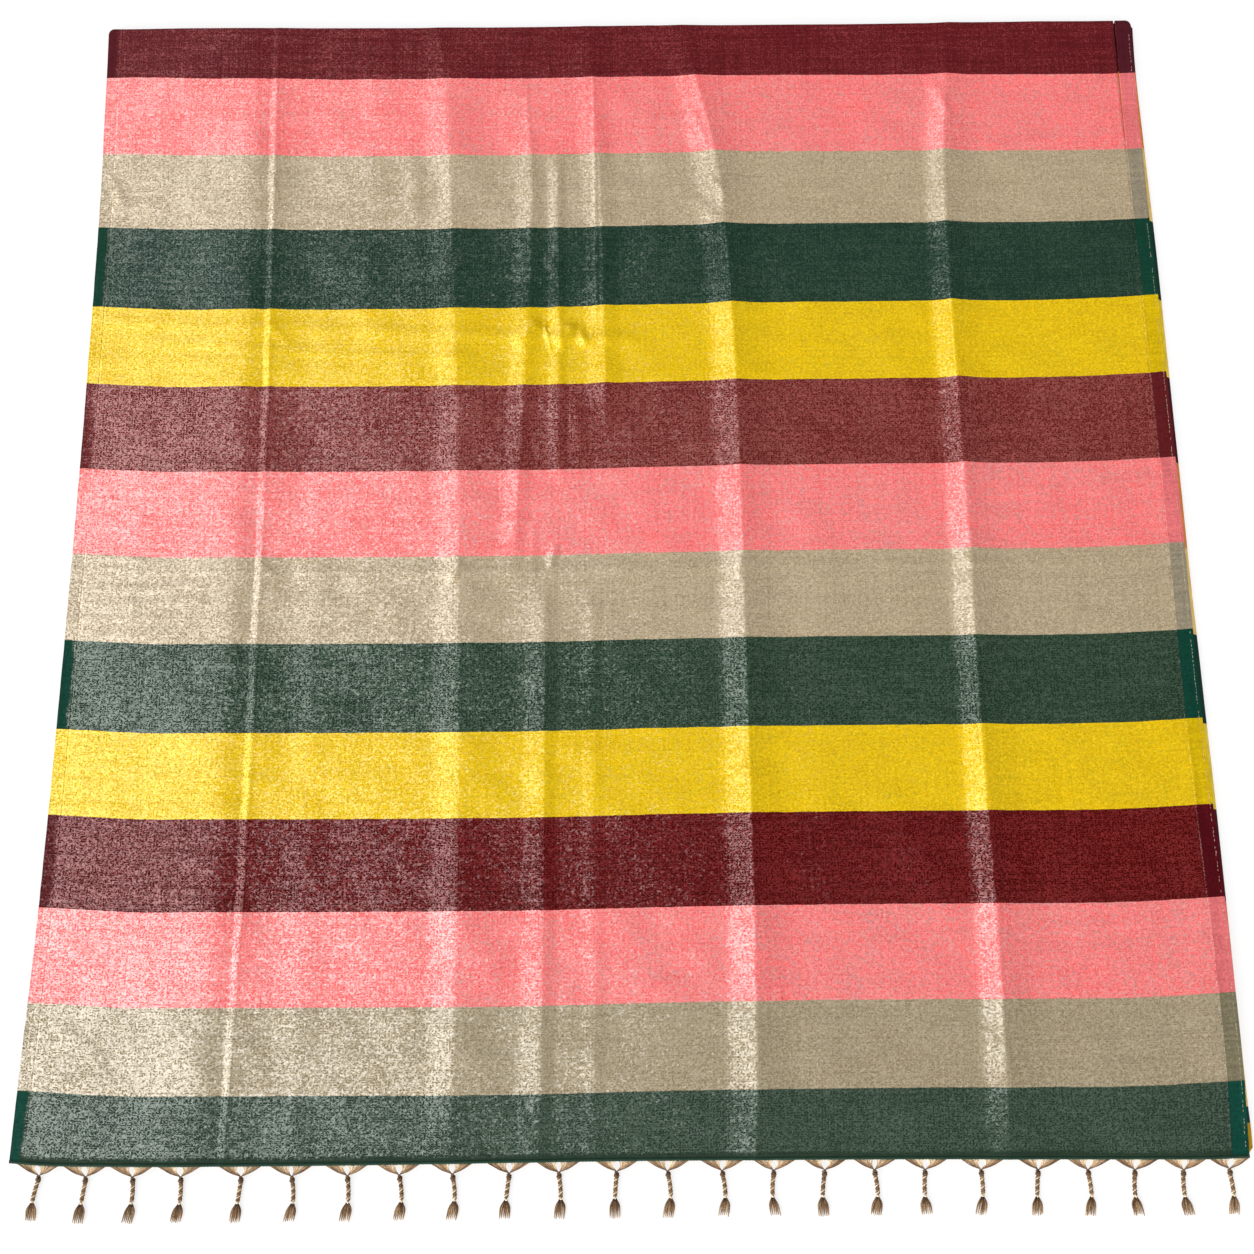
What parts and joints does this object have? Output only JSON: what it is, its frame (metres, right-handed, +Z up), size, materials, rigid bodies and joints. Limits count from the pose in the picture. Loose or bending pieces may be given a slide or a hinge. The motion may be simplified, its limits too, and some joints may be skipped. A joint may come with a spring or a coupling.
{
  "type": "chanderi saree",
  "caption": "Striped chanderi saree folded lengthwise into a flat stack and laid flat, its tasselled pallu end on top.",
  "frame": {"origin": "middle of the whole laid saree's footprint, on the surface that it rests on", "axes": "+X across the loom width, +Y from the tasselled hem to the top fold, +Z up from the surface"},
  "size_m": [1.1507, 1.2479, 0.013],
  "materials": {
    "striped_cloth": "sheer silk and cotton with metallic weft, broad maroon, pink, beige, green and yellow stripes",
    "selvedge": "plain dense weave in the same stripes, without the metallic thread",
    "hem": "narrow dark green rolled hem",
    "folded_cloth": "the same striped cloth, seen at the edges of the folds",
    "tassel_thread": "golden brown twisted silk threads"
  },
  "bodies": {
    "root": {"pallu_panel": "striped_cloth", "selvedge_left": "selvedge", "selvedge_right": "selvedge", "hem_roll": "hem", "hidden_layers": "folded_cloth", "tassel_01": "tassel_thread", "tassel_02": "tassel_thread", "tassel_03": "tassel_thread", "tassel_04": "tassel_thread", "tassel_05": "tassel_thread", "tassel_06": "tassel_thread", "tassel_07": "tassel_thread", "tassel_08": "tassel_thread", "tassel_09": "tassel_thread", "tassel_10": "tassel_thread", "tassel_11": "tassel_thread", "tassel_12": "tassel_thread", "tassel_13": "tassel_thread", "tassel_14": "tassel_thread", "tassel_15": "tassel_thread", "tassel_16": "tassel_thread", "tassel_17": "tassel_thread", "tassel_18": "tassel_thread", "tassel_19": "tassel_thread", "tassel_20": "tassel_thread", "tassel_21": "tassel_thread", "tassel_22": "tassel_thread", "tassel_23": "tassel_thread", "tassel_24": "tassel_thread"}
  },
  "joints": []
}
